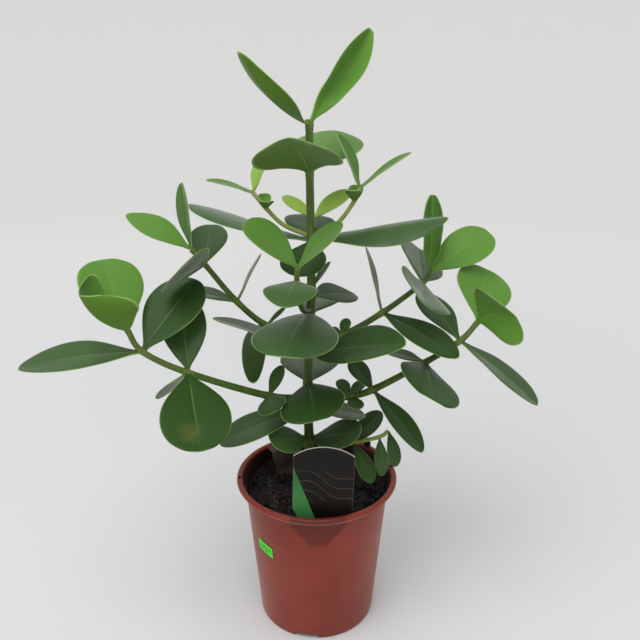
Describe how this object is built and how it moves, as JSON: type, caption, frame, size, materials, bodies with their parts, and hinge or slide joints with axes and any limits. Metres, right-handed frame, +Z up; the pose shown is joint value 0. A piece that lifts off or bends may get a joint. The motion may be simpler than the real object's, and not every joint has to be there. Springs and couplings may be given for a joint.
{
  "type": "potted plant",
  "caption": "Young upright clusia with thick paddle-shaped leaves on curved side shoots, standing in soil in a round tapered nursery pot with a plant tag.",
  "frame": {"origin": "centre of the pot's underside, on the flat pad that stands on the ground", "axes": "+Z up along the pot's axis; -Y towards the plant's front, where the tag stands; +X to the right in the front view"},
  "size_m": [0.4886, 0.2084, 0.6079],
  "materials": {
    "pot": "satin moulded terracotta-coloured plastic",
    "soil": "dark crumbly potting soil",
    "tag": "satin dark plastic",
    "label": "matt bright green paper",
    "leaf": "thick waxy green leaf"
  },
  "bodies": {
    "root": {"pot": "pot", "soil": "soil", "tag": "tag", "label": "label", "main_stem": "leaf", "upper_left": "leaf", "upper_right": "leaf", "lower_left": "leaf", "lower_right": "leaf", "front": "leaf", "back": "leaf", "top_left": "leaf", "top_right": "leaf", "foot_right": "leaf"}
  },
  "joints": []
}
